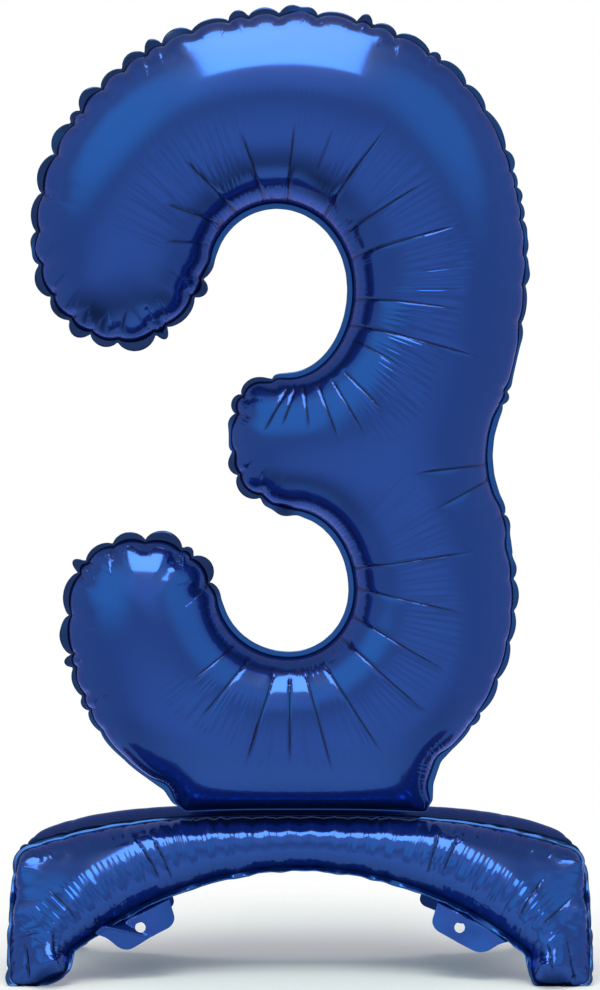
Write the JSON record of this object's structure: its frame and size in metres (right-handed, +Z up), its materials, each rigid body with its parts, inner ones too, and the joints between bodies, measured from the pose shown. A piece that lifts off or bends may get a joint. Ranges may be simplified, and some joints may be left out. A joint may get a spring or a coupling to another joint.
{
  "type": "foil number balloon",
  "caption": "Royal blue foil balloon in the shape of the figure three, standing on a base of inflated arches that lean apart.",
  "frame": {"origin": "on the floor, midway between the four feet", "axes": "+Z up, the figure faces -Y, +X is to the right of someone who reads it"},
  "size_m": [0.4504, 0.1754, 0.758],
  "materials": {
    "blue_foil": "mirror-like metallised film, royal blue",
    "clear_film": "clear plastic film"
  },
  "bodies": {
    "figure": {"number_front_panel": "blue_foil", "number_rear_panel": "blue_foil", "number_seam_rim": "blue_foil", "number_valve_front_film": "clear_film", "number_valve_rear_film": "clear_film"},
    "front_leg": {"front_leg_outer_panel": "blue_foil", "front_leg_inner_panel": "blue_foil", "front_leg_seam_rim": "blue_foil", "front_leg_valve_outer_film": "clear_film", "front_leg_valve_inner_film": "clear_film"},
    "rear_leg": {"rear_leg_outer_panel": "blue_foil", "rear_leg_inner_panel": "blue_foil", "rear_leg_seam_rim": "blue_foil", "rear_leg_valve_outer_film": "clear_film", "rear_leg_valve_inner_film": "clear_film"},
    "front_left_tab": {"front_left_tab": "blue_foil"},
    "front_right_tab": {"front_right_tab": "blue_foil"},
    "rear_right_tab": {"rear_right_tab": "blue_foil"},
    "rear_left_tab": {"rear_left_tab": "blue_foil"}
  },
  "joints": [
    {"name": "front_leg_spread", "type": "hinge", "parent": "figure", "child": "front_leg", "pos_m": [0, -0.0012, 0.121], "axis": [-1, 0, 0], "range_deg": [-9, 12], "stiffness_Nm_per_rad": 2},
    {"name": "rear_leg_spread", "type": "hinge", "parent": "figure", "child": "rear_leg", "pos_m": [0, 0.0012, 0.121], "axis": [1, 0, 0], "range_deg": [-9, 12], "stiffness_Nm_per_rad": 2},
    {"name": "front_left_tab_flap", "type": "hinge", "parent": "front_leg", "child": "front_left_tab", "pos_m": [-0.127, -0.05156, 0.04634], "axis": [0.8531, 0.2918, 0.4326], "range_deg": [-60, 60], "stiffness_Nm_per_rad": 0.002},
    {"name": "front_right_tab_flap", "type": "hinge", "parent": "front_leg", "child": "front_right_tab", "pos_m": [0.127, -0.05156, 0.04634], "axis": [0.8531, -0.2918, -0.4326], "range_deg": [-60, 60], "stiffness_Nm_per_rad": 0.002},
    {"name": "rear_right_tab_flap", "type": "hinge", "parent": "rear_leg", "child": "rear_right_tab", "pos_m": [0.127, 0.05156, 0.04634], "axis": [-0.8531, -0.2918, 0.4326], "range_deg": [-60, 60], "stiffness_Nm_per_rad": 0.002},
    {"name": "rear_left_tab_flap", "type": "hinge", "parent": "rear_leg", "child": "rear_left_tab", "pos_m": [-0.127, 0.05156, 0.04634], "axis": [-0.8531, 0.2918, -0.4326], "range_deg": [-60, 60], "stiffness_Nm_per_rad": 0.002}
  ]
}
